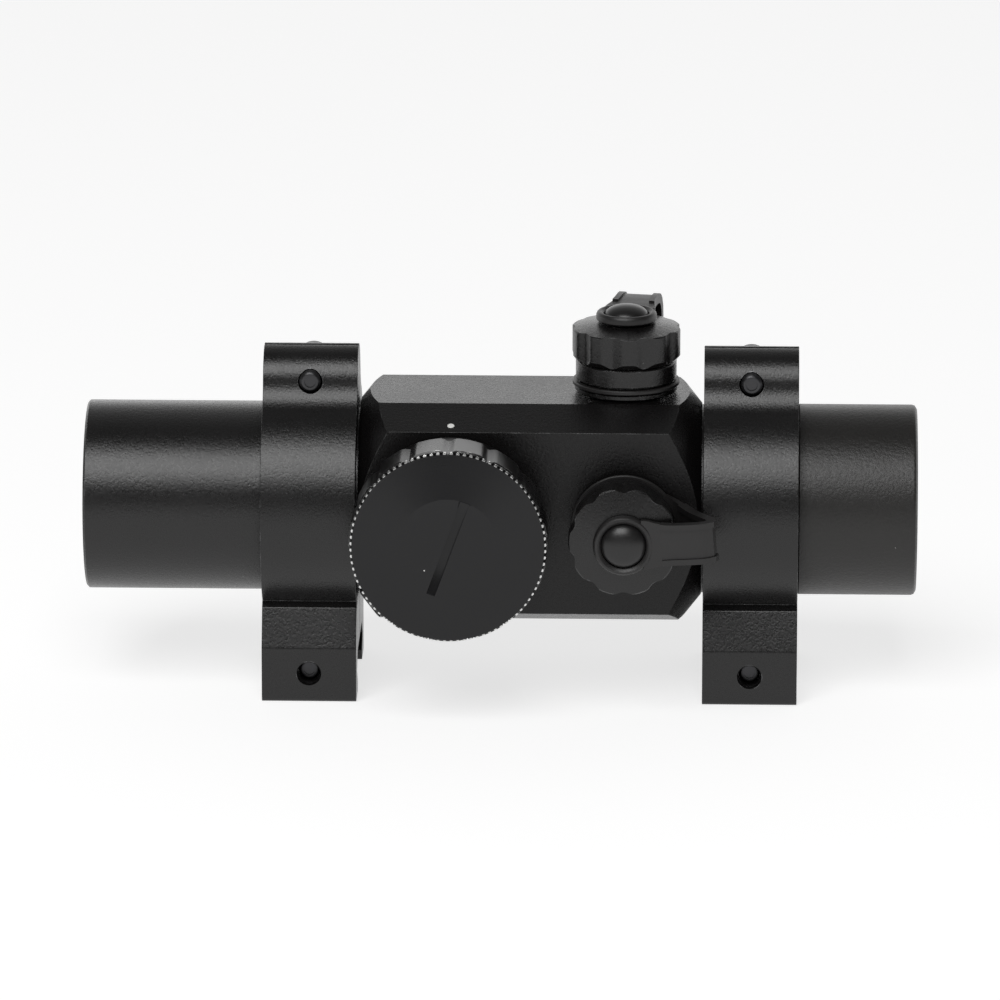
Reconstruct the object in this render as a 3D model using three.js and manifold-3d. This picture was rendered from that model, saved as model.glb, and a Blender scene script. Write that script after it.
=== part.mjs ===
// Red dot finder: a 30 mm tube sight with a squared turret block, two screw-off turret caps
// on rubber straps, a brightness dial with the coin cell inside it, and two split rings for a
// cross-slotted rail. Millimetres. +X is the objective (front) end, +Z is up, +Y is the left side.
// Everything is laid out about the tube's axis; the last lines stand the sight on its ring feet.

import * as THREE from 'three';
import { mergeVertices } from 'three/addons/utils/BufferGeometryUtils.js';
import Module from 'manifold-3d';

const wasm = await Module();
wasm.setup();

// ---------- driving dimensions ----------

const GAP = 0.3; // clearance between pieces that meet
const ROUND = 28; // segments round a large turned piece
const FINE = 10; // segments round a small turned piece

const TUBE_R = 15; // 30 mm main tube
const BORE_R = 13.4;
const REAR_END = -65.6;
const FRONT_END = 66.2;
const WINDOW_T = 1.9;

const BLOCK = {
  rear: -22.1, front: 32.1, // end faces
  top: 17.65, topHalf: 8.7, // height and half width of the top and bottom flats
  side: 15.8, sideHalf: 14.8, // distance of the side flats and half their height
  rearR: 15.7, frontR: 15.2, coneLean: 0.8, // cone at each end: its radius at the face, and length per radius
};
const TURRET_X = 20;
const DIAL_X = -7.4;

const RING = {
  width: 15, outerR: 18.3, slit: 0.4, // slit: half the gap between the two halves
  lugR: 5.9, lugZ: 19, lugFillet: 6.5,
  screwZ: 20.4, boltZ: -25.2, holeR: 1.9, screwR: 1.55, screwHeadR: 2.8, boltHeadR: 3.4,
  footTop: [12.7, -15], footNeck: [11.6, -14.2], footShoulder: [15, -21.2],
  base: -29.9, seat: -23.2, seatHalf: 8.4, jawDepth: 2.6, lipHalf: 8.6,
};
const RING_REAR_X = -29.9;
const RING_FRONT_X = 39.9;

const DIAL = { baseR: 14.2, baseTop: 5.65, r: 15.55, back: 5.95, front: 13.4, flutes: 15, fluteDepth: 0.6 };
const CELL = { r: 10, bottom: 9.3, thick: 3.2 }; // 2032 coin cell
const CAP = { r: 15.4, back: 13.7, rim: 14.35, front: 15, groove: 0.4, plugR: 12.4, plugBottom: 10.4, slot: 1.4, slotLean: 20 };

const TURRET = {
  baseR: 8.1, drumR: 8, grooveR: 7.4, shoulder: 5.2, postR: 6.3, postTop: 9,
  lobeR: 8.7, lobes: 10, lobeDepth: 0.7, lobeBottom: 6.5, lobeTop: 10.3, skirt: 5.5, crown: 11.3,
  eyeR: 4.8, domeR: 3.5, domeTop: 14.1, screwR: 4.2, pinR: 1.5,
};
const STRAP = { ringR: 8.5, width: 6.5, thick: 1 };

const PIVOT_X = -15; // the gimbal that the collimator tube tilts on
const COLLIMATOR = { r: 11, bore: 9.6, rear: -19, front: 37.5 };

// ---------- materials ----------

const material = (color, roughness, metalness) =>
  new THREE.MeshStandardMaterial({ color, roughness, metalness });
const satinBlack = material(0x17171a, 0.42, 0.7);
const matteBlack = material(0x1d1c1b, 0.75, 0.4);
const dialBlack = material(0x101013, 0.38, 0.7);
const rubber = material(0x141415, 0.7, 0);
const steel = material(0x8a8d92, 0.35, 0.95);
const brass = material(0xb08d4a, 0.35, 0.95);
const board = material(0x1d5a35, 0.6, 0.1);
const moulded = material(0x1a1a1c, 0.6, 0);
const glass = material(0xa8c4c8, 0.05, 0);
const coatedGlass = material(0xa0483a, 0.05, 0.3);
const emitterRed = material(0xb01818, 0.3, 0);

// ---------- geometry helpers ----------

const root = new THREE.Group();

function addPiece(name, geometry, look) {
  const mesh = new THREE.Mesh(geometry, look);
  mesh.name = name;
  root.add(mesh);
}

function toSolid(geometry) {
  const bare = geometry.clone();
  bare.deleteAttribute('normal');
  bare.deleteAttribute('uv');
  const merged = mergeVertices(bare, 1e-4);
  const corners = [];
  for (let i = 0; i < merged.index.count; i += 3) {
    const face = [0, 1, 2].map((k) => merged.index.getX(i + k));
    if (new Set(face).size === 3) corners.push(...face);
  }
  return new wasm.Manifold(new wasm.Mesh({
    numProp: 3,
    vertProperties: new Float32Array(merged.attributes.position.array),
    triVerts: new Uint32Array(corners),
  }));
}

function toGeometry(solid) {
  const mesh = solid.getMesh();
  const geometry = new THREE.BufferGeometry();
  geometry.setAttribute('position', new THREE.BufferAttribute(mesh.vertProperties, 3));
  geometry.setIndex(new THREE.BufferAttribute(mesh.triVerts, 1));
  return geometry;
}

function join(first, ...others) {
  return toGeometry(others.reduce((sum, g) => sum.add(toSolid(g)), toSolid(first)));
}

function cut(first, ...tools) {
  return toGeometry(tools.reduce((rest, g) => rest.subtract(toSolid(g)), toSolid(first)));
}

function common(first, second) {
  return toGeometry(toSolid(first).intersect(toSolid(second)));
}

// Turned piece about +Z. The profile lists [radius, height] with the material on its left.
function turned(profile, segments = ROUND) {
  const points = profile.map(([r, z]) => new THREE.Vector2(r, z));
  if (profile[0][0] > 0) points.push(points[0].clone());
  return new THREE.LatheGeometry(points, segments).rotateX(Math.PI / 2);
}

function rod(r, from, to, segments = FINE) {
  return turned([[0, from], [r, from], [r, to], [0, to]], segments);
}

function tube(inner, outer, from, to, segments = ROUND) {
  return turned([[inner, from], [outer, from], [outer, to], [inner, to]], segments);
}

const alongX = (geometry) => geometry.rotateY(Math.PI / 2);

// Prism with its outline in Y and Z, running from one X to another.
function prismX(shape, from, to, curveSegments = 6) {
  const geometry = new THREE.ExtrudeGeometry(shape, { depth: to - from, bevelEnabled: false, curveSegments });
  const axes = new THREE.Matrix4().makeBasis(
    new THREE.Vector3(0, 1, 0), new THREE.Vector3(0, 0, 1), new THREE.Vector3(1, 0, 0));
  return geometry.applyMatrix4(axes).translate(from, 0, 0);
}

function prismZ(shape, from, to) {
  return new THREE.ExtrudeGeometry(shape, { depth: to - from, bevelEnabled: false }).translate(0, 0, from);
}

function polygon(points) {
  return new THREE.Shape(points.map(([x, y]) => new THREE.Vector2(x, y)));
}

function box(sizeX, sizeY, sizeZ, x, y, z) {
  return new THREE.BoxGeometry(sizeX, sizeY, sizeZ).translate(x, y, z);
}

// Outline of a grip: round lobes with a shallow flute between each pair.
function flutedOutline(radius, count, depth, steps = 4) {
  const points = [];
  for (let i = 0; i < count * steps; i += 1) {
    const turn = (i / (count * steps)) * Math.PI * 2;
    const dip = depth * Math.max(0, Math.cos(turn * count)) ** 3;
    points.push([(radius - dip) * Math.cos(turn), (radius - dip) * Math.sin(turn)]);
  }
  return polygon(points);
}

// Places a side-mounted assembly: its own +Z becomes the sight's right side, -Y.
const toRightSide = (x) => (geometry) => geometry
  .rotateX(Math.PI / 2).translate(x, -BLOCK.side, 0);
const toTop = (x) => (geometry) => geometry.translate(x, 0, BLOCK.top);

// ---------- main housing, tubes and windows ----------

function housing() {
  const { rear, front, top, topHalf, side, sideHalf, rearR, frontR, coneLean } = BLOCK;
  const section = polygon([
    [topHalf, top], [-topHalf, top], [-side, sideHalf], [-side, -sideHalf],
    [-topHalf, -top], [topHalf, -top], [side, -sideHalf], [side, sideHalf],
  ]);
  const coneRise = 10;
  const cones = alongX(turned([
    [0, rear], [rearR, rear], [rearR + coneRise, rear + coneRise * coneLean],
    [frontR + coneRise, front - coneRise * coneLean], [frontR, front], [0, front],
  ]));
  const stub = alongX(rod(TUBE_R, front - 2, RING_FRONT_X + RING.width / 2, ROUND));
  const body = join(common(prismX(section, rear, front), cones), stub);
  const windowSeat = RING_FRONT_X - 0.4;
  const turretHole = () => rod(5.8, -3.6, 2);
  return cut(
    body,
    alongX(rod(BORE_R, rear - 1, front + 20, ROUND)),
    alongX(rod(14.5, rear - 1, rear + 6.3, ROUND)),
    alongX(rod(14.3, windowSeat, front + 20, ROUND)),
    toTop(TURRET_X)(join(turretHole(), rod(2, -6, -3))),
    toRightSide(TURRET_X)(join(turretHole(), rod(2, -6, -3))),
    toRightSide(DIAL_X)(rod(3.2, -6, 2)),
    rod(1.1, -14.8, 14.8, 12).rotateX(Math.PI / 2).translate(PIVOT_X, 0, 0),
  );
}

function rearTube() {
  const spigotEnd = BLOCK.rear + 6;
  return alongX(turned([
    [BORE_R, spigotEnd], [BORE_R, REAR_END + 7.6], [14, REAR_END + 7.6], [14, REAR_END],
    [TUBE_R - 0.3, REAR_END], [TUBE_R, REAR_END + 0.3], [TUBE_R, BLOCK.rear - GAP],
    [14.2, BLOCK.rear - GAP], [14.2, spigotEnd],
  ]));
}

function frontSleeve() {
  const start = RING_FRONT_X + RING.width / 2 + GAP;
  const spigot = RING_FRONT_X + 2.2;
  return alongX(turned([
    [12.9, spigot], [14, spigot], [14, start], [TUBE_R + 0.15, start],
    [TUBE_R + 0.15, FRONT_END - 0.7], [TUBE_R - 0.55, FRONT_END], [13.6, FRONT_END],
    [13.6, start + 1], [12.9, start + 1],
  ]));
}

addPiece('main_housing', housing(), satinBlack);
addPiece('rear_tube', rearTube(), satinBlack);
addPiece('front_sleeve', frontSleeve(), matteBlack);
const windowStart = RING_FRONT_X - 0.4 + GAP;
addPiece('front_window', alongX(rod(14, windowStart, windowStart + WINDOW_T, ROUND)), glass);
const rearShoulder = REAR_END + 7.6 - GAP;
addPiece('rear_window', alongX(rod(13.7, rearShoulder - WINDOW_T, rearShoulder, ROUND)), glass);
addPiece('rear_window_retainer', alongX(cut(
  tube(12.2, 13.7, REAR_END + 2.4, rearShoulder - WINDOW_T - GAP),
  box(2, 30, 1.4, 0, 0, REAR_END + 2.6),
)), matteBlack);

// ---------- collimator: the tilting inner tube with the emitter and the coated lens ----------

function collimatorTube() {
  const { r, bore, rear, front } = COLLIMATOR;
  const body = alongX(turned([
    [bore, rear], [r, rear], [r, front], [10.4, front], [10.4, front - 4.6], [bore, front - 4.6],
  ]));
  const pins = rod(0.7, -12.3, 12.3, 12).translate(PIVOT_X, 0, 0);
  const inside = alongX(rod(bore, rear - 1, front + 1, ROUND));
  const leadHole = rod(2.4, 8, 13, 16).rotateX(Math.PI / 2).translate(DIAL_X, 0, 0);
  return cut(join(body, cut(pins, inside)), leadHole);
}

function coatedLens() {
  const edge = COLLIMATOR.front - 4.6 + GAP;
  const bulge = 1.2;
  const steps = 3;
  const face = (start, sign) => Array.from({ length: steps + 1 }, (_, i) => {
    const r = (10.1 * i) / steps;
    return [r, start + sign * bulge * (1 - (r / 10.1) ** 2)];
  });
  return alongX(turned([...face(edge + 0.2, 0.6), ...face(edge + 2, 1).reverse()], 28));
}

function gimbalRing() {
  const ring = alongX(tube(11.35, 12.9, PIVOT_X - 2.2, PIVOT_X + 2.2));
  const pivots = rod(0.8, -14.5, 14.5, 12).rotateX(Math.PI / 2).translate(PIVOT_X, 0, 0);
  const inside = alongX(rod(12, PIVOT_X - 4, PIVOT_X + 4, ROUND));
  const holes = rod(1, -16, 16, 12).translate(PIVOT_X, 0, 0);
  return cut(join(ring, cut(pivots, inside)), holes);
}

function leafSpring() {
  const half = 8;
  const sag = 1.2;
  const thick = 0.35;
  const steps = 8;
  const edge = (offset) => Array.from({ length: steps + 1 }, (_, i) => {
    const u = (2 * i) / steps - 1;
    return [TURRET_X + u * half, -12.9 + sag * (1 - u * u) + offset];
  });
  const strip = prismZ(polygon([...edge(0), ...edge(thick).reverse()]), -2.4, 2.4);
  return strip.rotateX(Math.PI / 2).rotateX(Math.PI / 4);
}

addPiece('collimator_tube', collimatorTube(), matteBlack);
addPiece('gimbal_ring', gimbalRing(), brass);
addPiece('objective_lens', coatedLens(), coatedGlass);
addPiece('lens_retainer', alongX(tube(9, 10.1, COLLIMATOR.front - 1.2, COLLIMATOR.front - 0.2)), matteBlack);
addPiece('return_spring', leafSpring(), steel);
const emitterY = -7.1;
addPiece('emitter_holder', box(4.2, 2.8, 4, DIAL_X, emitterY, 0), moulded);
addPiece('led_emitter', alongX(rod(1.2, 0, 1.8, 16)).translate(DIAL_X + 2.4, emitterY, 0), emitterRed);
addPiece('dot_mask', alongX(tube(0.3, 1.3, 0, 0.5, 16)).translate(DIAL_X + 4.5, emitterY, 0), steel);

// ---------- brightness dial, coin cell and battery cap ----------

const onDial = toRightSide(DIAL_X);

function dialBase() {
  const { baseR, baseTop } = DIAL;
  return cut(
    turned([
      [3.2, GAP], [baseR, GAP], [baseR, baseTop], [10.9, baseTop], [10.9, 1.7], [3.2, 1.7],
    ]),
    rod(1.1, 2, baseTop + 1, 16).translate(0, 12.5, 0),
  );
}

function brightnessDial() {
  const { r, back, front, flutes, fluteDepth } = DIAL;
  const grip = prismZ(flutedOutline(r, flutes, fluteDepth), back, front).rotateZ(THREE.MathUtils.degToRad(-6));
  const chamfers = turned([[0, back], [r - 0.5, back], [r + 0.1, back + 0.6],
    [r + 0.1, front - 0.6], [r - 0.5, front], [0, front]]);
  const hub = rod(10.6, 3.8, back + 1, 32);
  return cut(
    join(common(grip, chamfers), hub),
    rod(10.4, CELL.bottom - 1.1, front + 1, 32),
    rod(12.8, CELL.bottom + 0.6, front + 1, ROUND),
    rod(1.5, 3, CELL.bottom, 16),
  );
}

function batteryCap() {
  const { r, back, rim, front, groove, plugR, plugBottom, slot, slotLean } = CAP;
  const slotCut = box(slot, 15.2, 1.6, 0, 0, front).rotateZ(THREE.MathUtils.degToRad(-slotLean));
  return cut(
    turned([
      [0, CELL.bottom + CELL.thick + GAP], [10.4, CELL.bottom + CELL.thick + GAP], [10.4, plugBottom],
      [plugR, plugBottom], [plugR, back], [13.2, back], [13.2, back + groove], [14.6, back + groove],
      [14.6, back], [r, back], [r, rim - 0.25], [r - 0.25, rim], [8.1, front], [0, front],
    ]),
    slotCut,
  );
}

function coilSpring(r, wire, turns, height) {
  class Helix extends THREE.Curve {
    getPoint(t, target = new THREE.Vector3()) {
      const turn = t * turns * Math.PI * 2;
      return target.set(r * Math.cos(turn), r * Math.sin(turn), t * height);
    }
  }
  const wireShape = polygon([0, 1, 2, 3].map((i) => [
    wire * Math.cos((i * Math.PI) / 2), wire * Math.sin((i * Math.PI) / 2)]));
  return new THREE.ExtrudeGeometry(wireShape, { steps: turns * 8, extrudePath: new Helix() });
}

const onBallHole = (geometry) => onDial(geometry.translate(0, 12.5, 0));
addPiece('dial_base', onDial(dialBase()), satinBlack);
addPiece('switch_board', onDial(tube(1.6, 9.6, 2, 3.2, 28)), board);
addPiece('detent_spring', onBallHole(coilSpring(0.55, 0.16, 4, 1.1).translate(0, 0, 2.5)), steel);
addPiece('detent_ball', onBallHole(new THREE.SphereGeometry(0.8, 10, 7).translate(0, 0, 4.9)), steel);
addPiece('brightness_dial', onDial(brightnessDial()), dialBlack);
addPiece('battery_contact', onDial(turned([
  [0, 8.45], [4, 8.45], [4, 8.6], [1.6, 9], [0, 9]], 24)), brass);
addPiece('coin_cell', onDial(turned([
  [0, CELL.bottom], [CELL.r - 1, CELL.bottom], [CELL.r, CELL.bottom + 0.6],
  [CELL.r, CELL.bottom + CELL.thick], [0, CELL.bottom + CELL.thick]], 32)), steel);
addPiece('battery_cap_seal', onDial(tube(13.45, 14.35, CAP.back - 0.05, CAP.back + 0.2)), rubber);
addPiece('battery_cap', onDial(batteryCap()), dialBlack);

const leadPath = new THREE.CatmullRomCurve3([[-17.5, 0], [-14.5, 0.5], [-11.5, -0.5], [-8.8, 0]].map(
  ([y, z]) => new THREE.Vector3(DIAL_X, y, z)));
const leadSection = polygon([0, 1, 2, 3, 4, 5, 6, 7].map((i) => [
  0.4 * Math.cos((i * Math.PI) / 4), 0.4 * Math.sin((i * Math.PI) / 4)]));
addPiece('emitter_lead', new THREE.ExtrudeGeometry(leadSection, { steps: 12, extrudePath: leadPath }), rubber);

// ---------- turrets ----------

function turretBase() {
  const { baseR, drumR, grooveR, shoulder, postR, postTop } = TURRET;
  return turned([
    [1.8, -3.3], [5.5, -3.3], [5.5, GAP], [baseR, GAP], [baseR, 1.1], [grooveR, 1.1], [grooveR, 2.3],
    [drumR, 2.3], [drumR, shoulder], [postR, shoulder], [postR, postTop], [4.6, postTop],
    [4.6, -1.3], [1.8, -1.3],
  ], 22);
}

function adjustingScrew() {
  const head = rod(TURRET.screwR, -1, 7.2, 18);
  return cut(head, rod(TURRET.pinR + GAP, -2, 3.4), box(1.2, 10, 1.6, 0, 0, 7.2));
}

function pushPin(tipZ) {
  const { pinR } = TURRET;
  return turned([[0, tipZ], [pinR - 0.4, tipZ], [pinR, tipZ + 0.4], [pinR, 2.2], [0, 2.2]], 20);
}

function turretCap() {
  const { lobeR, lobes, lobeDepth, lobeBottom, lobeTop, skirt, crown, eyeR, postR, postTop } = TURRET;
  const grip = prismZ(flutedOutline(lobeR, lobes, lobeDepth), skirt, crown);
  const envelope = turned([
    [0, skirt], [8.1, skirt], [lobeR + 0.1, lobeBottom], [lobeR + 0.1, lobeTop],
    [eyeR, crown], [0, crown],
  ]);
  return cut(
    common(grip, envelope),
    rod(postR + 0.35, skirt - 1, postTop + 1.1, 22),
    rod(1.5, postTop + 0.9, crown + 1, 16),
  );
}

function capStrap() {
  const { ringR, width, thick } = STRAP;
  const { eyeR, crown } = TURRET;
  const ring = tube(7.7, ringR, 1.3, 2, 20);
  const eye = turned([
    [1.6, crown + GAP], [eyeR, crown + GAP], [eyeR, crown + 1.5], [3.8, crown + 1.5],
    [3.8, crown + 0.7], [1.6, crown + 0.7],
  ], 16);
  const route = new THREE.CatmullRomCurve3([
    [ringR - 0.6, 1.65], [9.4, 1.95], [11.2, 3.1], [13, 5.7], [14.1, 9], [13.4, 12.1],
    [11, 13.6], [8.1, 13.4], [eyeR - 0.6, crown + 1.2],
  ].map(([x, z]) => new THREE.Vector3(x, 0, z)));
  const section = polygon([[-width / 2, -thick / 2], [width / 2, -thick / 2],
    [width / 2, thick / 2], [-width / 2, thick / 2]]);
  const band = new THREE.ExtrudeGeometry(section, { steps: 16, extrudePath: route });
  return join(ring, band, eye);
}

function strapRivet() {
  const { crown, domeR, domeTop } = TURRET;
  const rise = domeTop - crown - 1;
  const arc = Array.from({ length: 5 }, (_, i) => {
    const turn = (i / 4) * (Math.PI / 2);
    return [domeR * Math.cos(turn), crown + 1 + rise * Math.sin(turn)];
  });
  arc[4][0] = 0;
  return turned([[0, crown - 0.9], [1.2, crown - 0.9], [1.2, crown + 1], ...arc], FINE);
}

for (const [name, place, strapTurn, reach] of [
  ['elevation', toTop(TURRET_X), 80, BLOCK.top],
  ['windage', toRightSide(TURRET_X), 4, BLOCK.side],
]) {
  const tip = COLLIMATOR.r + GAP - reach;
  addPiece(`${name}_turret_base`, place(turretBase()), satinBlack);
  addPiece(`${name}_screw`, place(adjustingScrew()), brass);
  addPiece(`${name}_push_pin`, place(pushPin(tip)), steel);
  addPiece(`${name}_cap_seal`, place(tube(5, 6.4, 9.35, 9.8, 18)), rubber);
  addPiece(`${name}_cap`, place(turretCap()), satinBlack);
  addPiece(`${name}_cap_strap`, place(capStrap().rotateZ(THREE.MathUtils.degToRad(strapTurn))), rubber);
  addPiece(`${name}_strap_rivet`, place(strapRivet()), rubber);
}

// ---------- split mounting rings ----------

function ringHalfOutline() {
  const { outerR, slit, lugR, lugZ, lugFillet, footNeck, footTop, footShoulder, base, seat, seatHalf,
    jawDepth, lipHalf } = RING;
  const bore = TUBE_R + GAP;
  const toRing = outerR + lugFillet;
  const filletZ = (toRing ** 2 - (lugR + lugFillet) ** 2 + lugZ ** 2) / (2 * lugZ);
  const filletY = Math.sqrt(toRing ** 2 - filletZ ** 2);
  const onRim = Math.atan2(filletZ, filletY);
  const onLug = Math.atan2(filletZ - lugZ, filletY);
  const neckTurn = Math.atan2(footNeck[1], footNeck[0]);
  const boreEnd = Math.asin(Math.sqrt(bore ** 2 - slit ** 2) / bore);
  const shape = new THREE.Shape();
  shape.absarc(0, lugZ, lugR, Math.acos(slit / lugR), onLug, true);
  shape.absarc(filletY, filletZ, lugFillet, onLug + Math.PI, onRim + Math.PI, false);
  shape.absarc(0, 0, outerR, onRim, neckTurn, true);
  shape.lineTo(...footTop);
  shape.lineTo(...footShoulder);
  shape.lineTo(footShoulder[0], base);
  shape.lineTo(lipHalf, base);
  shape.lineTo(lipHalf, seat - 2 * jawDepth + 0.2);
  shape.lineTo(seatHalf + jawDepth, seat - jawDepth);
  shape.lineTo(seatHalf, seat);
  shape.lineTo(slit, seat);
  shape.absarc(0, 0, bore, -boreEnd, boreEnd, false);
  return shape;
}

function ringHalf(side) {
  const { width, holeR, screwZ, boltZ, lugR, screwHeadR } = RING;
  const blank = prismX(ringHalfOutline(), -width / 2, width / 2);
  const bored = (r, from, z) => rod(r, from, 20, 12).rotateX(-Math.PI / 2).translate(0, 0, z);
  const half = cut(blank, bored(holeR, 0, screwZ), bored(holeR, 0, boltZ));
  const headSeat = bored(screwHeadR + GAP, lugR, screwZ);
  return side > 0 ? cut(half, headSeat) : half.rotateZ(Math.PI);
}

// Cross screw along Y: its head is on the left half and its tip lies in the right half.
function crossScrew(z, tipY, seatY, headR, headHeight) {
  const { screwR } = RING;
  const headTop = seatY + GAP + headHeight;
  const shaft = turned([
    [0, tipY], [screwR - 0.35, tipY], [screwR, tipY + 0.35], [screwR, seatY + GAP],
    [headR, seatY + GAP], [headR, headTop - 0.3], [headR - 0.3, headTop], [0, headTop],
  ]);
  const socket = rod(headR * 0.55, headTop - headHeight * 0.6, headTop + 1, 6);
  return cut(shaft, socket).rotateX(-Math.PI / 2).translate(0, 0, z);
}

for (const [name, x] of [['rear', RING_REAR_X], ['front', RING_FRONT_X]]) {
  const place = (geometry) => geometry.translate(x, 0, 0);
  addPiece(`${name}_ring_right_half`, place(ringHalf(-1)), satinBlack);
  addPiece(`${name}_ring_left_half`, place(ringHalf(1)), satinBlack);
  addPiece(`${name}_ring_top_screw`, place(crossScrew(RING.screwZ, -4.9, RING.lugR, RING.screwHeadR, 2.6)), steel);
  addPiece(`${name}_ring_cross_bolt`,
    place(crossScrew(RING.boltZ, -11, RING.footShoulder[0], RING.boltHeadR, 3)), steel);
}

// ---------- stand the sight on its feet, centred over the origin ----------

const bounds = new THREE.Box3().setFromObject(root);
const middle = bounds.getCenter(new THREE.Vector3());
root.position.set(-middle.x, -middle.y, -bounds.min.z);

export default root;
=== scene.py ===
"""Red dot finder, 30 mm tube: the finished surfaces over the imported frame.

Every piece is modelled in millimetres about its own axis, then settled into the frame's metres.
"""
import math

import bmesh
import bpy
from mathutils import Matrix, Vector


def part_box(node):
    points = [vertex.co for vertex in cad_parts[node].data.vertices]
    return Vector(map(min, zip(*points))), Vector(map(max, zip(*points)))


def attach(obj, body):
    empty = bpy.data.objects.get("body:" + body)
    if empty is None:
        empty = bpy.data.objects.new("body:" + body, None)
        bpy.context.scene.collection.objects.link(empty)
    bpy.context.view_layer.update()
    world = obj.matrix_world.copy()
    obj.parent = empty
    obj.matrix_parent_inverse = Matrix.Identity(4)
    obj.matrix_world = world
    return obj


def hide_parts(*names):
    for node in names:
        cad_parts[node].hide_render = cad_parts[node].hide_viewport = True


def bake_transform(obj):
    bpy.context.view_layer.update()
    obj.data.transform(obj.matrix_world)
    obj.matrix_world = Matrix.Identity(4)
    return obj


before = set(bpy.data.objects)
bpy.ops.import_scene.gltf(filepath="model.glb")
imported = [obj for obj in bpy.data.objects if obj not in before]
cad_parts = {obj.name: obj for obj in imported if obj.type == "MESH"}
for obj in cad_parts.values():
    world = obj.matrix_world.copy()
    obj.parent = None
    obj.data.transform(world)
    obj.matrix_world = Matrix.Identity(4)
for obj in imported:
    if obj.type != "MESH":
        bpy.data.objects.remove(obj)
bpy.ops.object.select_all(action="DESELECT")
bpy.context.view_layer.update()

MM = 0.001
TINY = 1e-4  # a radius that closes up on the axis
GAP = 0.3  # between parts that fit one inside the other
SHARP = math.radians(32)


# ---------- places, from the frame ----------


def box_mm(node):
    low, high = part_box(node)
    return low / MM, high / MM


def centre_mm(node):
    low, high = box_mm(node)
    return (low + high) / 2


tube_low, tube_high = box_mm("rear_tube")
AXIS_Y = (tube_low.y + tube_high.y) / 2
AXIS_Z = (tube_low.z + tube_high.z) / 2
TUBE_R = (tube_high.z - tube_low.z) / 2
REAR_END, FRONT_END = -65.6, 66.2  # the tube's two ends, along its axis from the middle
MIDDLE_X = tube_low.x - REAR_END
TURRET_X = centre_mm("elevation_cap").x
DIAL_X = centre_mm("battery_cap").x
BLOCK_LOW, BLOCK_HIGH = box_mm("main_housing")
RING_X = {end: centre_mm(f"{end}_ring_right_half").x for end in ("rear", "front")}
RING_WIDTH = box_mm("rear_ring_right_half")[1].x - box_mm("rear_ring_right_half")[0].x
SCREW_Z = centre_mm("rear_ring_top_screw").z - AXIS_Z
BOLT_Z = centre_mm("rear_ring_cross_bolt").z - AXIS_Z
FOOT_Z = -AXIS_Z

CAP_R, CAP_TEETH = 15.4, 92  # the battery cap's knurled rim

TURN_X = Matrix.Rotation(math.pi / 2, 4, "Y")  # own +Z to +X
TO_RIGHT = Matrix.Rotation(math.pi / 2, 4, "X")  # own +Z to -Y, the sight's right side
TO_LEFT = Matrix.Rotation(-math.pi / 2, 4, "X")  # own +Z to +Y, the sight's left side
SECTION = Matrix(((0, 0, 1, 0), (1, 0, 0, 0), (0, 1, 0, 0), (0, 0, 0, 1)))  # own X, Y to Y, Z


def at(x, y, z, turn=Matrix.Identity(4)):
    return Matrix.Translation((x, y, z)) @ turn


ALONG_TUBE = at(MIDDLE_X, AXIS_Y, AXIS_Z, TURN_X)
ON_TOP = at(TURRET_X, AXIS_Y, BLOCK_HIGH.z)
ON_SIDE = at(TURRET_X, BLOCK_LOW.y, AXIS_Z, TO_RIGHT)
ON_DIAL = at(DIAL_X, BLOCK_LOW.y, AXIS_Z, TO_RIGHT)


# ---------- modelling steps ----------


def edit():
    bpy.ops.object.mode_set(mode="EDIT")


def leave():
    bpy.ops.object.mode_set(mode="OBJECT")


def only(piece):
    bpy.ops.object.select_all(action="DESELECT")
    piece.select_set(True)
    bpy.context.view_layer.objects.active = piece


def moved(piece, place):
    """Turn and shift the piece's mesh, with its object left at the origin."""
    only(piece)
    piece.matrix_world = place
    bpy.ops.object.transform_apply(location=True, rotation=True, scale=True)
    return piece


def pick(piece, test):
    """Select the vertices of the piece in edit mode whose place passes the test."""
    bpy.ops.mesh.select_mode(type="VERT")
    bpy.ops.mesh.select_all(action="DESELECT")
    mesh = bmesh.from_edit_mesh(piece.data)
    for vert in mesh.verts:
        vert.select_set(test(vert.co))
    mesh.select_flush_mode()
    bmesh.update_edit_mesh(piece.data)


def turned(name, profile, steps=96, closed=False):
    """A lathe piece about its own Z, from a list of (radius, height)."""
    bpy.ops.object.select_all(action="DESELECT")
    rounds = [(max(r, TINY), z) for r, z in profile]
    if closed:
        rounds.append(rounds[0])
    bpy.ops.mesh.primitive_circle_add(vertices=steps, radius=rounds[0][0], location=(0, 0, rounds[0][1]))
    piece = bpy.context.object
    piece.name = name
    bpy.ops.object.transform_apply(location=True, rotation=False, scale=False)
    edit()
    bpy.ops.mesh.select_all(action="SELECT")
    for (r0, z0), (r1, z1) in zip(rounds, rounds[1:]):
        bpy.ops.mesh.extrude_edges_move(TRANSFORM_OT_translate={"value": (0, 0, z1 - z0)})
        bpy.ops.transform.resize(value=(r1 / r0, r1 / r0, 1), center_override=(0, 0, z1))
    bpy.ops.mesh.select_all(action="SELECT")
    bpy.ops.mesh.remove_doubles(threshold=3 * TINY)
    bpy.ops.mesh.normals_make_consistent(inside=False)
    leave()
    return piece


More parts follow.
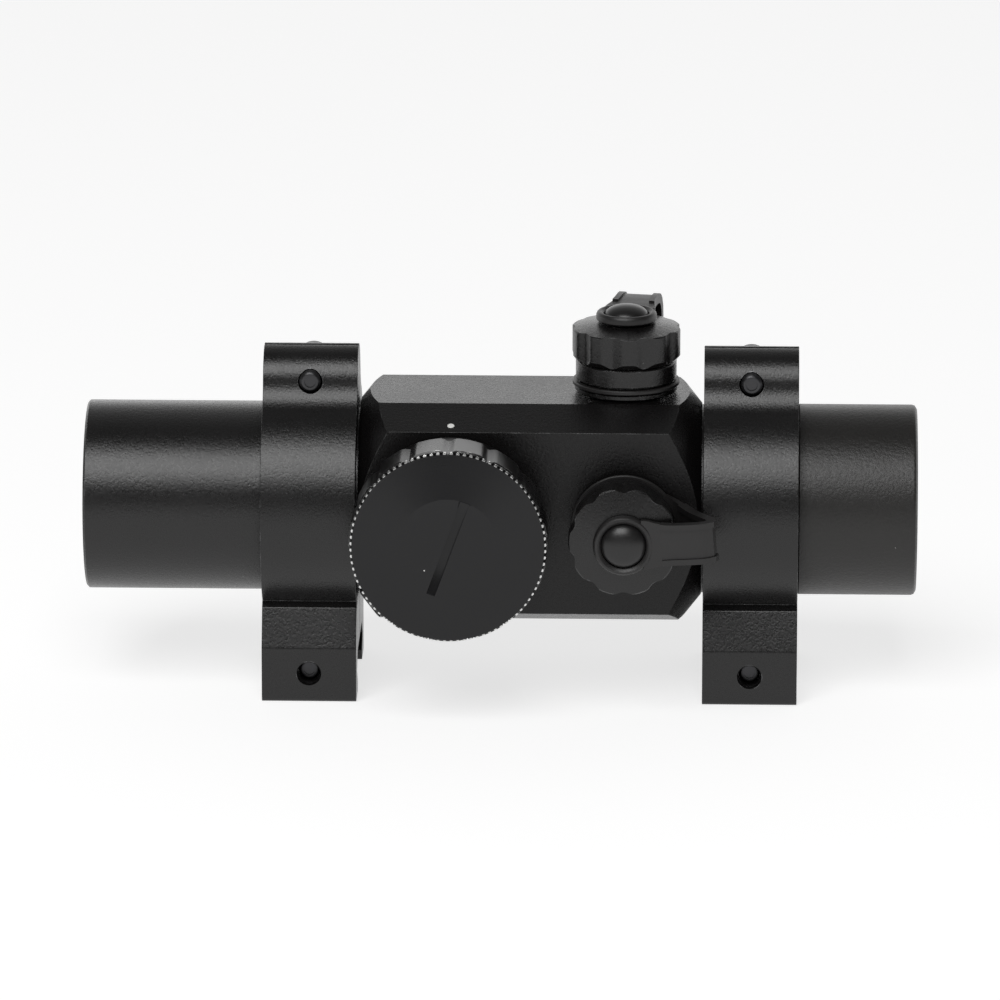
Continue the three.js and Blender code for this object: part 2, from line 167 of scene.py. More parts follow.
def outlined(name, points, low, high):
    """A plate whose closed outline lies in its own X and Y, from one height to another."""
    bpy.ops.object.select_all(action="DESELECT")
    bpy.ops.mesh.primitive_plane_add(size=1)
    piece = bpy.context.object
    piece.name = name
    edit()
    bpy.ops.mesh.merge(type="CENTER")
    bpy.ops.transform.translate(value=(points[0][0], points[0][1], low))
    for (x0, y0), (x1, y1) in zip(points, points[1:]):
        bpy.ops.mesh.extrude_vertices_move(TRANSFORM_OT_translate={"value": (x1 - x0, y1 - y0, 0)})
    bpy.ops.mesh.select_all(action="SELECT")
    bpy.ops.mesh.edge_face_add()
    bpy.ops.mesh.extrude_region_move(TRANSFORM_OT_translate={"value": (0, 0, high - low)})
    bpy.ops.mesh.select_all(action="SELECT")
    bpy.ops.mesh.normals_make_consistent(inside=False)
    leave()
    return piece


def modify(piece, kind, **values):
    only(piece)
    step = piece.modifiers.new(kind.title(), kind)
    for key, value in values.items():
        setattr(step, key, value)
    bpy.ops.object.modifier_apply(modifier=step.name)
    return piece


def combine(piece, tool, how="DIFFERENCE"):
    modify(piece, "BOOLEAN", operation=how, object=tool, solver="EXACT")
    bpy.data.objects.remove(tool)
    return piece


def eased(piece, width, segments=2, angle=SHARP):
    return modify(piece, "BEVEL", width=width, segments=segments, limit_method="ANGLE", angle_limit=angle,
                  miter_outer="MITER_ARC", use_clamp_overlap=True)


def arc(x, y, r, start, end, steps):
    """Points round an arc, angles in degrees."""
    turns = [math.radians(start + (end - start) * i / steps) for i in range(steps + 1)]
    return [(x + r * math.cos(t), y + r * math.sin(t)) for t in turns]


def settle(piece, place, body, look, replaces=(), smooth=SHARP):
    """Move the finished piece to its place in metres, smooth it, and hang it on its body."""
    moved(piece, Matrix.Scale(MM, 4) @ place)
    bpy.ops.object.shade_smooth_by_angle(angle=smooth)
    modify(piece, "WEIGHTED_NORMAL", keep_sharp=True)
    piece.data.materials.clear()
    piece.data.materials.append(look.material)
    if body:
        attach(piece, body)
    if replaces:
        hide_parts(*replaces)
    return piece


# ---------- shader groups shared by the finishes ----------


def new_group(name, inputs, outputs):
    group = bpy.data.node_groups.new(name, "ShaderNodeTree")
    for label, kind, default in inputs:
        socket = group.interface.new_socket(label, in_out="INPUT", socket_type=kind)
        socket.default_value = default
    for label, kind in outputs:
        group.interface.new_socket(label, in_out="OUTPUT", socket_type=kind)
    return group


class Nodes:
    """Adds nodes to a tree and links them as they are made."""

    def __init__(self, tree):
        self.tree = tree

    def add(self, kind, settings=None, **inputs):
        node = self.tree.nodes.new(kind)
        for key, value in (settings or {}).items():
            setattr(node, key, value)
        for key, value in inputs.items():
            self.feed(node, key.replace("_", " "), value)
        return node

    def feed(self, node, key, value):
        socket = node.inputs[int(key)] if key.isdigit() else node.inputs[key]
        if isinstance(value, bpy.types.NodeSocket):
            self.tree.links.new(value, socket)
        else:
            socket.default_value = value

    def math(self, how, first, second=0.0):
        node = self.add("ShaderNodeMath", {"operation": how})
        self.feed(node, "0", first)
        self.feed(node, "1", second)
        return node.outputs[0]

    def ramp(self, value, low, high):
        node = self.add("ShaderNodeMapRange", {"interpolation_type": "SMOOTHSTEP"}, Value=value)
        node.inputs["From Min"].default_value = low
        node.inputs["From Max"].default_value = high
        return node.outputs["Result"]

    def mix(self, amount, first, second):
        node = self.add("ShaderNodeMix", {"data_type": "RGBA"})
        self.feed(node, "0", amount)
        self.feed(node, "6", first)
        self.feed(node, "7", second)
        return node.outputs[2]


def grain_group():
    """Fine blasted grain with broad cloudiness: a height, and a slow tone."""
    group = new_group("Blasted grain", [("Size", "NodeSocketFloat", 0.25)],
                      [("Height", "NodeSocketFloat"), ("Cloud", "NodeSocketFloat")])
    n = Nodes(group)
    size = n.add("NodeGroupInput").outputs["Size"]
    place = n.add("ShaderNodeTexCoord").outputs["Object"]
    per_metre = n.math("DIVIDE", 1 / MM, size)
    fine = n.add("ShaderNodeTexNoise", Vector=place, Scale=per_metre, Detail=3.0, Roughness=0.65)
    cloud = n.add("ShaderNodeTexNoise", Vector=place, Scale=95.0, Detail=4.0, Roughness=0.6)
    out = n.add("NodeGroupOutput")
    n.feed(out, "Height", fine.outputs["Fac"])
    n.feed(out, "Cloud", cloud.outputs["Fac"])
    return group


def dust_group():
    """Sparse bright specks of dust: a mask."""
    group = new_group("Dust specks",
                      [("Spacing", "NodeSocketFloat", 4.0), ("Size", "NodeSocketFloat", 0.06)],
                      [("Mask", "NodeSocketFloat")])
    n = Nodes(group)
    given = n.add("NodeGroupInput")
    place = n.add("ShaderNodeTexCoord").outputs["Object"]
    per_metre = n.math("DIVIDE", 1 / MM, given.outputs["Spacing"])
    cells = n.add("ShaderNodeTexVoronoi", {"feature": "F1"}, Vector=place, Scale=per_metre, Randomness=1.0)
    reach = n.math("DIVIDE", given.outputs["Size"], given.outputs["Spacing"])
    near = n.math("LESS_THAN", cells.outputs["Distance"], reach)
    channels = n.add("ShaderNodeSeparateColor", Color=cells.outputs["Color"])
    chosen = n.math("GREATER_THAN", channels.outputs["Red"], 0.6)
    out = n.add("NodeGroupOutput")
    n.feed(out, "Mask", n.math("MULTIPLY", near, chosen))
    return group


def edge_group():
    """Where an outside edge turns: a mask, broken up as real rubbing is."""
    group = new_group("Rubbed edges", [("Width", "NodeSocketFloat", 0.15)], [("Mask", "NodeSocketFloat")])
    n = Nodes(group)
    width = n.math("MULTIPLY", n.add("NodeGroupInput").outputs["Width"], MM)
    rounded = n.add("ShaderNodeBevel", {"samples": 6}, Radius=width)
    true = n.add("ShaderNodeNewGeometry")
    facing = n.add("ShaderNodeVectorMath", {"operation": "DOT_PRODUCT"})
    n.feed(facing, "0", rounded.outputs["Normal"])
    n.feed(facing, "1", true.outputs["Normal"])
    turning = n.ramp(facing.outputs["Value"], 0.995, 0.93)
    place = n.add("ShaderNodeTexCoord").outputs["Object"]
    patches = n.add("ShaderNodeTexNoise", Vector=place, Scale=600.0, Detail=3.0)
    broken = n.ramp(patches.outputs["Fac"], 0.5, 0.66)
    out = n.add("NodeGroupOutput")
    n.feed(out, "Mask", n.math("MULTIPLY", turning, broken))
    return group


GRAIN = grain_group()
DUST = dust_group()
EDGES = edge_group()


class Look:
    """A finish: its material, and the record's slot that it stands for."""

    def __init__(self, slot, name):
        self.slot = slot
        self.material = bpy.data.materials.new(name)
        self.material.use_nodes = True
        self.n = Nodes(self.material.node_tree)
        self.shader = self.material.node_tree.nodes["Principled BSDF"]

    def set(self, **inputs):
        for key, value in inputs.items():
            self.n.feed(self.shader, key.replace("_", " "), value)
        return self

    def group(self, tree, **inputs):
        node = self.n.add("ShaderNodeGroup", {"node_tree": tree})
        for key, value in inputs.items():
            self.n.feed(node, key, value)
        return node.outputs

    def bump(self, height, depth):
        node = self.n.add("ShaderNodeBump", Height=height, Strength=1.0, Distance=depth * MM)
        return node.outputs["Normal"]


def shade(colour, share):
    """The colour made darker or lighter, with its alpha."""
    return (*[c * share for c in colour], 1)


BARE_ALUMINIUM = (0.22, 0.22, 0.225, 1)
BRIGHT_ALUMINIUM = (0.75, 0.75, 0.74, 1)
PALE_DUST = (0.55, 0.54, 0.52, 1)


def anodised(slot, name, colour, gloss, grain, depth, wear=0.6, dust=0.5, shine=0.5):
    """Blasted and anodised aluminium: deep colour, fine grain, a little bare metal on its edges."""
    look = Look(slot, name)
    n = look.n
    texture = look.group(GRAIN, Size=grain)
    rubbed = n.math("MULTIPLY", look.group(EDGES, Width=0.2)["Mask"], wear)
    specks = n.math("MULTIPLY", look.group(DUST)["Mask"], dust)
    tone = n.mix(texture["Cloud"], shade(colour, 0.75), shade(colour, 1.3))
    worn = n.mix(rubbed, tone, BARE_ALUMINIUM)
    dusty = n.mix(specks, worn, PALE_DUST)
    mottle = n.math("ADD", n.math("MULTIPLY", texture["Cloud"], 0.08),
                    n.math("MULTIPLY", texture["Height"], 0.22))
    rough = n.math("ADD", gloss - 0.15, mottle)
    look.set(Base_Color=dusty, Roughness=rough, Metallic=n.math("MULTIPLY", rubbed, 0.8),
             Normal=look.bump(texture["Height"], depth))
    look.shader.inputs["Specular IOR Level"].default_value = shine
    return look


def turned_black(slot, name, colour, gloss, teeth=0, shine=0.5):
    """Anodised face with the lathe's fine rings about the dial's axis, and bare tips on its teeth."""
    look = Look(slot, name)
    n = look.n
    place = n.add("ShaderNodeTexCoord").outputs["Object"]
    mapping = n.add("ShaderNodeMapping", {"vector_type": "TEXTURE"}, Vector=place)
    mapping.inputs["Location"].default_value = (DIAL_X * MM, 0, AXIS_Z * MM)
    parts = n.add("ShaderNodeSeparateXYZ", Vector=mapping.outputs["Vector"])
    flat = n.add("ShaderNodeCombineXYZ", X=parts.outputs["X"], Y=parts.outputs["Z"])
    radius = n.add("ShaderNodeVectorMath", {"operation": "LENGTH"})
    n.feed(radius, "0", flat.outputs["Vector"])
    rings = n.add("ShaderNodeTexNoise", {"noise_dimensions": "1D"}, W=radius.outputs["Value"],
                  Scale=9000.0, Detail=2.0)
    texture = look.group(GRAIN, Size=0.16)
    specks = n.math("MULTIPLY", look.group(DUST, Spacing=3.6, Size=0.13)["Mask"], 0.9)
    if teeth:
        around = n.math("ARCTAN2", parts.outputs["Z"], parts.outputs["X"])
        crest = n.ramp(n.math("COSINE", n.math("MULTIPLY", around, teeth)), 0.1, -0.5)
        rim = n.ramp(radius.outputs["Value"], (CAP_R - 0.38) * MM, (CAP_R - 0.2) * MM)
        rubbed = n.math("MULTIPLY", n.math("MULTIPLY", crest, rim), 0.95)
    else:
        rubbed = n.math("MULTIPLY", look.group(EDGES, Width=0.1)["Mask"], 0.9)
    tone = n.mix(texture["Cloud"], shade(colour, 0.8), shade(colour, 1.25))
    worn = n.mix(rubbed, tone, BRIGHT_ALUMINIUM)
    dusty = n.mix(specks, worn, (0.6, 0.59, 0.57, 1))
    height = n.math("ADD", n.math("MULTIPLY", rings.outputs["Fac"], 0.6),
                    n.math("MULTIPLY", texture["Height"], 0.4))
    rough = n.math("ADD", gloss - 0.04, n.math("MULTIPLY", texture["Cloud"], 0.08))
    look.set(Base_Color=dusty, Roughness=rough, Metallic=rubbed, Normal=look.bump(height, 0.006))
    look.shader.inputs["Specular IOR Level"].default_value = shine
    return look


def moulded_rubber(slot, name, colour, gloss):
    """A soft moulded skin or an even paint: fine grain, cloudy tone, a little dust."""
    look = Look(slot, name)
    n = look.n
    texture = look.group(GRAIN, Size=0.35)
    specks = n.math("MULTIPLY", look.group(DUST, Spacing=5.0)["Mask"], 0.6)
    tone = n.mix(texture["Cloud"], shade(colour, 0.8), shade(colour, 1.35))
    dusty = n.mix(specks, tone, (0.4, 0.39, 0.38, 1))
    rough = n.math("ADD", gloss - 0.08, n.math("MULTIPLY", texture["Height"], 0.16))
    look.set(Base_Color=dusty, Roughness=rough, Normal=look.bump(texture["Height"], 0.01))
    return look


def bare_metal(slot, name, colour, gloss):
    """Bare or oxidised metal with a fine grain."""
    look = Look(slot, name)
    n = look.n
    texture = look.group(GRAIN, Size=0.3)
    tone = n.mix(texture["Cloud"], shade(colour, 0.85), shade(colour, 1))
    rough = n.math("ADD", gloss - 0.06, n.math("MULTIPLY", texture["Height"], 0.12))
    look.set(Base_Color=tone, Roughness=rough, Normal=look.bump(texture["Height"], 0.003))
    look.shader.inputs["Metallic"].default_value = 1.0
    return look


def lens_glass(slot, name, tint, reflect):
    """Clear glass with a faint uneven film."""
    look = Look(slot, name)
    film = look.n.add("ShaderNodeTexNoise", Scale=60.0, Detail=2.0,
                      Vector=look.n.add("ShaderNodeTexCoord").outputs["Object"])
    faint = look.n.math("MULTIPLY", film.outputs["Fac"], 0.03)
    look.set(Base_Color=(*tint, 1), Roughness=faint, IOR=1.52, Specular_Tint=(*reflect, 1))
    look.shader.inputs["Transmission Weight"].default_value = 1.0
    return look


def circuit(slot, name):
    """Green board with paler ringed tracks."""
    look = Look(slot, name)
    n = look.n
    place = n.add("ShaderNodeTexCoord").outputs["Object"]
    tracks = n.add("ShaderNodeTexWave", {"wave_type": "RINGS"}, Vector=place, Scale=500.0, Distortion=2.0)
    tone = n.mix(n.ramp(tracks.outputs["Fac"], 0.7, 0.8), (0.01, 0.08, 0.03, 1), (0.03, 0.16, 0.06, 1))
    look.set(Base_Color=tone, Roughness=0.45)
    return look


SATIN = anodised("satin_black", "Satin black anodising", (0.0043, 0.0039, 0.004), 0.29, 0.42, 0.05)
# the housing's copy of the satin anodising, its shine turned down as painted shade: it dims the reflections
# on the block's faces
SHADED_HOUSING_SATIN = anodised("satin_black", "Housing anodising with painted shade", (0.0043, 0.0039, 0.004), 0.29, 0.42, 0.05,
                       shine=0.32)
RING_SATIN = anodised("satin_black", "Ring anodising", (0.004, 0.0037, 0.0038), 0.29, 0.4, 0.05, wear=0.8)
MATTE = anodised("matte_black", "Matte black anodising", (0.0085, 0.0076, 0.0068), 0.40, 0.5, 0.07,
                 wear=0.4, dust=0.8)
INNER = anodised("matte_black", "Flat black inside", (0.006, 0.006, 0.006), 0.7, 0.4, 0.02,
                 wear=0.0, dust=0.0)
DIAL = turned_black("dial_black", "Turned black anodising", (0.005, 0.0048, 0.005), 0.28)
CAP_BLACK = turned_black("dial_black", "Cap face anodising", (0.0048, 0.0047, 0.0053), 0.2,
                         teeth=CAP_TEETH, shine=0.34)
SATIN_DOME = moulded_rubber("strap_rubber", "Rivet dome", (0.007, 0.0066, 0.0066), 0.33)
PAINT = moulded_rubber("dial_black", "White index paint", (0.75, 0.75, 0.73), 0.5)
STRAP = moulded_rubber("strap_rubber", "Strap rubber", (0.0095, 0.0088, 0.0088), 0.42)
SEAL = moulded_rubber("rubber_black", "Seal rubber", (0.008, 0.008, 0.008), 0.5)
BLACK_OXIDE = bare_metal("black_screw", "Black oxide steel", (0.07, 0.07, 0.073), 0.38)
STEEL = bare_metal("steel", "Bright steel", (0.55, 0.55, 0.56), 0.28)
BRASS = bare_metal("brass", "Turned brass", (0.72, 0.5, 0.2), 0.3)
GLASS = lens_glass("window_glass", "Window glass", (0.97, 0.99, 0.985), (1, 1, 1))
COATED = lens_glass("coated_glass", "Coated lens glass", (1.0, 0.93, 0.9), (1.0, 0.25, 0.12))
BOARD = circuit("circuit_board", "Circuit board")
MOULDING = moulded_rubber("moulding", "Moulded plastic", (0.01, 0.01, 0.01), 0.5)
LED = moulded_rubber("led_red", "Red emitter", (0.4, 0.01, 0.01), 0.2)


# ---------- main housing, tubes and windows ----------

BLOCK_REAR, BLOCK_FRONT = -22.1, 32.1
BLOCK_TOP, TOP_HALF, BLOCK_SIDE, SIDE_HALF = 17.65, 8.7, 15.8, 14.8
REAR_CONE_R, FRONT_CONE_R, CONE_LEAN = 15.7, 15.2, 0.8
BORE_R = 13.4
STUB_END, SLEEVE_START = 47.1, 47.45
WINDOW_REST = 39.5
REAR_SOCKET_R, REAR_SOCKET_DEPTH, WINDOW_SEAT_R = 14.5, 6.3, 14.3
SCREW_POCKET_R, PIN_HOLE_R, WIRE_HOLE_R = 5.8, 2, 3.2
SPIGOT_R, THREAD_R = 14.2, 14


def bored(piece, radius, low, high, steps=64, place=None):
    """Take a round hole out of the piece, along its own Z unless a place turns it."""
    drill = turned("drill", [(0, low), (radius, low), (radius, high), (0, high)], steps)
    if place is not None:
        moved(drill, place)
    return combine(piece, drill)


def main_housing():
    section = [(TOP_HALF, BLOCK_TOP), (-TOP_HALF, BLOCK_TOP), (-BLOCK_SIDE, SIDE_HALF),
               (-BLOCK_SIDE, -SIDE_HALF), (-TOP_HALF, -BLOCK_TOP), (TOP_HALF, -BLOCK_TOP),
               (BLOCK_SIDE, -SIDE_HALF), (BLOCK_SIDE, SIDE_HALF)]
    body = moved(outlined("housing_body", section, BLOCK_REAR, BLOCK_FRONT), SECTION)
    rise = 10
    cones = turned("cones", [(0, BLOCK_REAR), (REAR_CONE_R, BLOCK_REAR),
                             (REAR_CONE_R + rise, BLOCK_REAR + rise * CONE_LEAN),
                             (FRONT_CONE_R + rise, BLOCK_FRONT - rise * CONE_LEAN),
                             (FRONT_CONE_R, BLOCK_FRONT), (0, BLOCK_FRONT)], 160)
    combine(body, moved(cones, TURN_X), "INTERSECT")
    eased(body, 0.45, 3, math.radians(15))
    stub = turned("stub", [(0, BLOCK_FRONT - 2), (TUBE_R, BLOCK_FRONT - 2), (TUBE_R, STUB_END - 0.3),
                           (TUBE_R - 0.3, STUB_END), (0, STUB_END)], 128)
    combine(body, moved(stub, TURN_X), "UNION")
    for radius, low, high in ((BORE_R, BLOCK_REAR - 1, BLOCK_FRONT + 20),
                              (REAR_SOCKET_R, BLOCK_REAR - 1, BLOCK_REAR + REAR_SOCKET_DEPTH),
                              (WINDOW_SEAT_R, WINDOW_REST, BLOCK_FRONT + 20)):
        bored(body, radius, low, high, 96, TURN_X)
    turret = TURRET_X - MIDDLE_X
    for place in (at(turret, 0, BLOCK_TOP), at(turret, -BLOCK_SIDE, 0, TO_RIGHT)):
        bored(body, SCREW_POCKET_R, -3.6, 2, 48, place)
        bored(body, PIN_HOLE_R, -6, -3, 24, place)
    bored(body, WIRE_HOLE_R, -6, 2, 32, at(DIAL_X - MIDDLE_X, -BLOCK_SIDE, 0, TO_RIGHT))
    # the housing takes the satin copy whose lowered shine is painted shade
    settle(body, at(MIDDLE_X, AXIS_Y, AXIS_Z), "housing", SHADED_HOUSING_SATIN, ["main_housing"])


def ridges(radius, depth, low, high, pitch):
    """Profile points of a fine ribbed or threaded wall, from one height to the other."""
    count = max(1, round(abs(high - low) / pitch))
    step = (high - low) / count
    points = []
    for i in range(count):
        points += [(radius, low + i * step), (radius + depth, low + (i + 0.5) * step)]
    return points + [(radius, high)]


def rear_tube():
    profile = [(SPIGOT_R, BLOCK_REAR - GAP), (TUBE_R, BLOCK_REAR - GAP), (TUBE_R, REAR_END + 0.35),
               (TUBE_R - 0.35, REAR_END), (14.3, REAR_END), (THREAD_R, REAR_END + 0.3)]
    profile += ridges(THREAD_R, -0.18, REAR_END + 0.6, REAR_END + 2.2, 0.4)
    profile += [(THREAD_R, REAR_END + 7.6), (BORE_R, REAR_END + 7.6)]
    profile += ridges(BORE_R, 0.25, REAR_END + 9, BLOCK_REAR + 4, 1.5)
    profile += [(BORE_R, BLOCK_REAR + 6), (SPIGOT_R, BLOCK_REAR + 6)]
    piece = turned("rear_tube_body", profile, 160, closed=True)
    settle(piece, ALONG_TUBE, "housing", SATIN, ["rear_tube"])


def front_sleeve():
    outer, clear = TUBE_R + 0.15, 12.9
    profile = [(clear, WINDOW_REST + 2.6), (THREAD_R, WINDOW_REST + 2.6), (THREAD_R, SLEEVE_START),
               (outer - 0.15, SLEEVE_START), (outer, SLEEVE_START + 0.15), (outer, FRONT_END - 0.75),
               (outer - 0.16, FRONT_END - 0.32), (outer - 0.7, FRONT_END), (14, FRONT_END),
               (13.7, FRONT_END - 0.2)]
    profile += ridges(13.6, -0.35, FRONT_END - 1.5, SLEEVE_START + 1.6, 0.9)
    profile += [(clear, SLEEVE_START + 1)]
    piece = turned("front_sleeve_body", profile, 160, closed=True)
    settle(piece, ALONG_TUBE, "housing", MATTE, ["front_sleeve"])


def flat_window(name, radius, start, node):
    thick, ease = 1.9, 0.15
    piece = turned(name, [(0, start), (radius - ease, start), (radius, start + ease),
                          (radius, start + thick - ease), (radius - ease, start + thick),
                          (0, start + thick)], 96)
    settle(piece, ALONG_TUBE, "housing", GLASS, [node])


def window_retainer():
    low, high = REAR_END + 2.4, REAR_END + 5.1
    piece = turned("rear_retainer_ring", [(12.2, low + 0.2), (12.4, low), (13.5, low), (13.7, low + 0.2)]
                   + [(13.7, high), (12.2, high)], 96, closed=True)
    bpy.ops.object.select_all(action="DESELECT")
    bpy.ops.mesh.primitive_cube_add(size=1, location=(0, 0, low + 0.2), scale=(2, 30, 1.4))
    combine(piece, bpy.context.object)
    eased(piece, 0.06, 1)
    settle(piece, ALONG_TUBE, "housing", INNER, ["rear_window_retainer"])


def collimator():
    r, bore, rear, front = 11, 9.6, -19, 37.5
    step = front - 4.6
    mouth = 10.4
    profile = [(bore + 0.2, rear), (r - 0.2, rear), (r, rear + 0.2), (r, front - 0.2), (r - 0.2, front),
               (mouth + 0.2, front), (mouth, front - 0.2)]
    profile += ridges(mouth, -0.1, front - 0.5, front - 1.4, 0.3)
    profile += [(mouth, step), (bore, step)] + ridges(bore, 0.2, step - 1, rear + 1, 1.5)
    body = turned("collimator_body", profile, 96, closed=True)
    settle(body, ALONG_TUBE, "collimator", INNER)
    edge = step + 0.3
    lens_r, steps = 10.1, 12
    bow = [lens_r * i / steps for i in range(steps + 1)]
    lens = turned("coated_lens", [(x, edge + 0.2 + 0.72 * (1 - (x / lens_r) ** 2)) for x in bow]
                  + [(x, edge + 2 + 1.2 * (1 - (x / lens_r) ** 2)) for x in reversed(bow)], 96)
    settle(lens, ALONG_TUBE, "collimator", COATED, ["objective_lens"])
    ring = turned("lens_retaining_ring", [(9, front - 1), (9.2, front - 1.2), (lens_r, front - 1.2),
                                          (lens_r, front - 0.2), (9.2, front - 0.2), (9, front - 0.4)],
                  96, closed=True)
    settle(ring, ALONG_TUBE, "collimator", INNER, ["lens_retainer"])


# ---------- brightness dial and battery cap ----------

DIAL_R, DIAL_BACK, DIAL_FRONT = 15.55, 5.9, 13.4
DIAL_FLUTES, FLUTE_DEPTH, DIAL_TURN = 15, 0.6, math.radians(-6)
CAP_BACK, CAP_FRONT, CAP_RIM = 13.6, 15.3, 14.25
DISC_R = 8.1
SLOT_WIDTH, SLOT_LENGTH, SLOT_DEPTH, SLOT_LEAN = 1.4, 15.8, 1.1, 20
DOT_R, DOT_Y, DOT_Z = 0.56, -14.2, 15.45


def fluted(radius, count, depth, turn, steps, sharp=3, wave=0):
    """Outline of a grip: round lobes with a shallow flute between each pair, the first flute at the turn."""
    points = []
    for i in range(count * steps):
        angle = 2 * math.pi * i / (count * steps)
        dip = depth * max(0, (math.cos(angle * count) + wave) / (1 + wave)) ** sharp
        reach = radius - dip
        points.append((reach * math.cos(angle + turn), reach * math.sin(angle + turn)))
    return points


def dial_base():
    piece = turned("dial_seat", [(3.2, 0.3), (14.0, 0.3), (14.2, 0.5), (14.2, 5.5), (14.0, 5.7), (11.1, 5.7),
                                 (10.9, 5.5), (10.9, 1.7), (3.2, 1.7)], 96, closed=True)
    bored(piece, 1.1, 2, 6.7, 24, at(0, 12.5, 0))
    settle(piece, ON_DIAL, "housing", SATIN, ["dial_base"])


def brightness_dial():
    outline = fluted(DIAL_R, DIAL_FLUTES, FLUTE_DEPTH, DIAL_TURN, 20)
    grip = outlined("dial_grip", outline, DIAL_BACK, DIAL_FRONT)
    ease, past = 0.25, DIAL_R + 0.05
    envelope = turned("dial_envelope", [(0, DIAL_BACK), (DIAL_R - ease, DIAL_BACK), (past, DIAL_BACK + ease),
                                        (past, DIAL_FRONT - ease), (DIAL_R - ease, DIAL_FRONT),
                                        (0, DIAL_FRONT)], 120)
    combine(grip, envelope, "INTERSECT")
    combine(grip, turned("hub", [(0, 3.8), (10.4, 3.8), (10.6, 4), (10.6, 7), (0, 7)], 64), "UNION")
    bored(grip, 10.4, 8.2, DIAL_FRONT + 1)
    bored(grip, 12.8, 9.9, DIAL_FRONT + 1)
    bored(grip, 1.5, 3, 9.3, 32)
    eased(grip, 0.12, 2, math.radians(25))
    settle(grip, ON_DIAL, "dial", DIAL, ["brightness_dial"])


def battery_cap():
    teeth = []
    root_r, flank_r = CAP_R - 0.42, CAP_R - 0.08
    for i in range(CAP_TEETH):
        for share, r in ((0, root_r), (0.3, flank_r), (0.5, CAP_R), (0.7, flank_r)):
            angle = 2 * math.pi * (i + share) / CAP_TEETH
            teeth.append((r * math.cos(angle), r * math.sin(angle)))
    rim = outlined("cap_plate", teeth, CAP_BACK, CAP_FRONT)
    inside, past = CAP_R - 0.2, CAP_R + 0.1
    face = [(0, CAP_BACK), (inside, CAP_BACK), (past, CAP_BACK + 0.15), (past, CAP_RIM - 0.3),
            (inside, CAP_RIM), (DISC_R, CAP_FRONT - 0.04), (DISC_R - 0.08, CAP_FRONT), (0, CAP_FRONT)]
    combine(rim, turned("cap_envelope", face, 128), "INTERSECT")
    plug = [(0, 12.8), (10.4, 12.8), (10.4, 10.4)]
    plug += ridges(12.3, -0.25, 10.6, 13.4, 0.6) + [(12.4, 13.9), (0, 13.9)]
    combine(rim, turned("plug", plug, 96), "UNION")
    groove = [(13.2, 13), (14.6, 13), (14.6, 14.05), (13.2, 14.05)]
    combine(rim, turned("seal_groove", groove, 96, closed=True))
    wheel_r = (SLOT_LENGTH ** 2 / 4 + SLOT_DEPTH ** 2) / (2 * SLOT_DEPTH)
    half = SLOT_WIDTH / 2
    wheel = turned("slot_cutter", [(0, -half), (wheel_r, -half), (wheel_r, half), (0, half)], 256)
    lean = Matrix.Rotation(math.radians(-SLOT_LEAN), 4, "Z")
    combine(rim, moved(wheel, lean @ at(0, 0, CAP_FRONT - SLOT_DEPTH + wheel_r, TURN_X)))
    settle(rim, ON_DIAL, "battery_cap", CAP_BLACK, ["battery_cap"])


def oval(r, z, half_width, half_height):
    """Section of a squeezed seal ring."""
    turns = [math.radians(a) for a in range(0, 360, 30)]
    return [(r + half_width * math.cos(t), z + half_height * math.sin(t)) for t in turns]


def cap_seal():
    piece = turned("cap_o_ring", oval(13.9, 13.78, 0.3, 0.2), 96, closed=True)
    settle(piece, ON_DIAL, "battery_cap_seal", SEAL, ["battery_cap_seal"], smooth=math.radians(60))


def coin_cell():
    r, low, high = 10, 9.3, 12.5
    piece = turned("coin_cell_case", [(0, low), (8.4, low), (8.7, low + 0.25), (9.2, low + 0.3),
                                      (9.7, low + 0.6), (r, low + 1), (r, high - 0.3), (r - 0.3, high),
                                      (0, high)], 96)
    settle(piece, ON_DIAL, "dial", STEEL, ["coin_cell"])


def index_dot():
    """A drop of paint on the housing's sloping roof, above the dial."""
    roof = Vector((SIDE_HALF - BLOCK_TOP, BLOCK_SIDE - TOP_HALF)).normalized()
    lean = Matrix.Rotation(math.atan2(-roof.x, roof.y), 4, "X")
    drop = [(0, -0.05), (DOT_R, -0.05), (DOT_R, 0.0), (DOT_R - 0.06, 0.035), (0.25, 0.05), (0, 0.052)]
    place = at(DIAL_X, AXIS_Y + DOT_Y, AXIS_Z + DOT_Z, lean)
    settle(turned("index_dot", drop, 32), place, "housing", PAINT)


# ---------- turrets ----------

LOBE_R, LOBES = 8.7, 10
CROWN, EYE_R, RIVET_SEAT_R = 11.3, 4.8, 3.62
FLUTE_TURN = {"elevation": math.radians(3), "windage": math.radians(18)}
STRAP_TURN = {"elevation": math.radians(80), "windage": math.radians(4)}


def turret_base(name, place):
    piece = turned(f"{name}_base_body", [
        (1.8, -3.3), (5.5, -3.3), (5.5, 0.3), (7.9, 0.3), (8.1, 0.5), (8.1, 1.0), (8.0, 1.1), (7.4, 1.1),
        (7.4, 2.3), (7.85, 2.3), (8, 2.45), (8, 5.0), (7.8, 5.2), (6.3, 5.2)]
        + ridges(6.3, -0.3, 5.5, 8.7, 0.6)
        + [(6.1, 9), (4.8, 9), (4.6, 8.8), (4.6, -1.3), (1.8, -1.3)], 96, closed=True)
    settle(piece, place, "housing", SATIN, [f"{name}_turret_base"])


def turret_screw(name, place):
    r, top = 4.2, 7.2
    piece = turned(f"{name}_screw_body", [(0, -1), (4.0, -1), (r, -0.8)] + ridges(r, -0.15, -0.5, 5.8, 0.5)
                   + [(r, 6.9), (3.9, top), (0, top)], 64)
    bored(piece, 1.8, -2, 3.4, 24)
    bpy.ops.object.select_all(action="DESELECT")
    bpy.ops.mesh.primitive_cube_add(size=1, location=(0, 0, top), scale=(1.2, 10, 1.6))
    combine(piece, bpy.context.object)
    eased(piece, 0.08, 1)
    settle(piece, place, f"{name}_screw", BRASS, [f"{name}_screw"])


